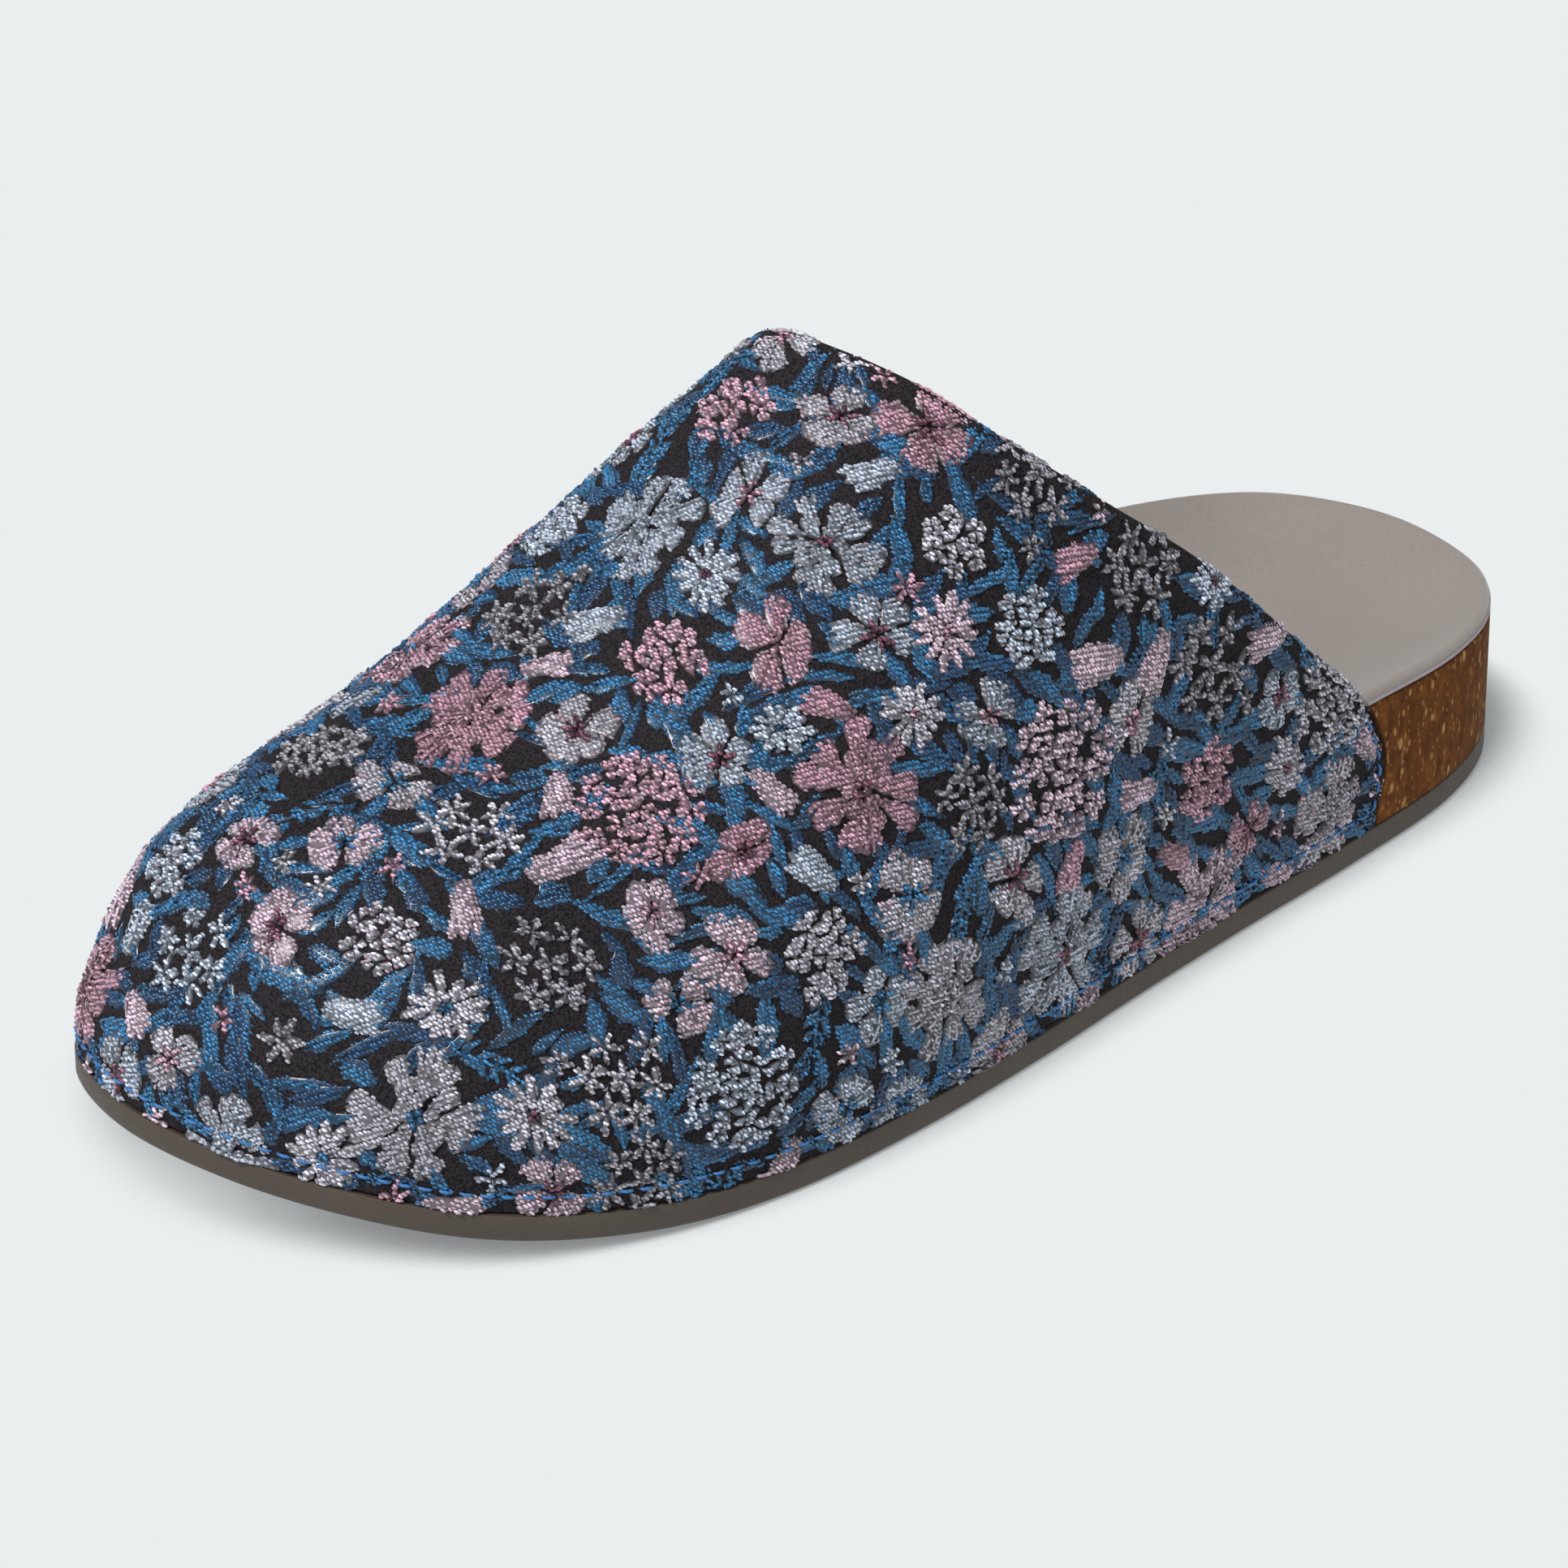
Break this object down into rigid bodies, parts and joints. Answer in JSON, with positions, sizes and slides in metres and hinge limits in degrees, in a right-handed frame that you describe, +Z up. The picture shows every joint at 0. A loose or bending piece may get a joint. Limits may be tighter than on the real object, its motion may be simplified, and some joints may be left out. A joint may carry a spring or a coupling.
{
  "type": "closed-toe mule",
  "caption": "Left closed-toe, open-back mule: floral brocade upper, cork footbed with a cupped heel, insole and a flat rubber outsole with toe spring.",
  "frame": {"origin": "middle of the outsole's footprint, on the floor", "axes": "+Z up, +Y from the toe to the heel along the shoe, +X to the outer side of the foot"},
  "size_m": [0.1036, 0.256, 0.1008],
  "materials": {
    "outsole_rubber": "smooth satin dark brown-grey rubber",
    "cork": "sealed granulated cork with tan flecks",
    "insole_suede": "fine taupe suede",
    "brocade": "raised floral weave in blue, grey and mauve on black"
  },
  "bodies": {
    "root": {"outsole": "outsole_rubber", "cork_footbed": "cork", "insole": "insole_suede", "upper": "brocade"}
  },
  "joints": []
}
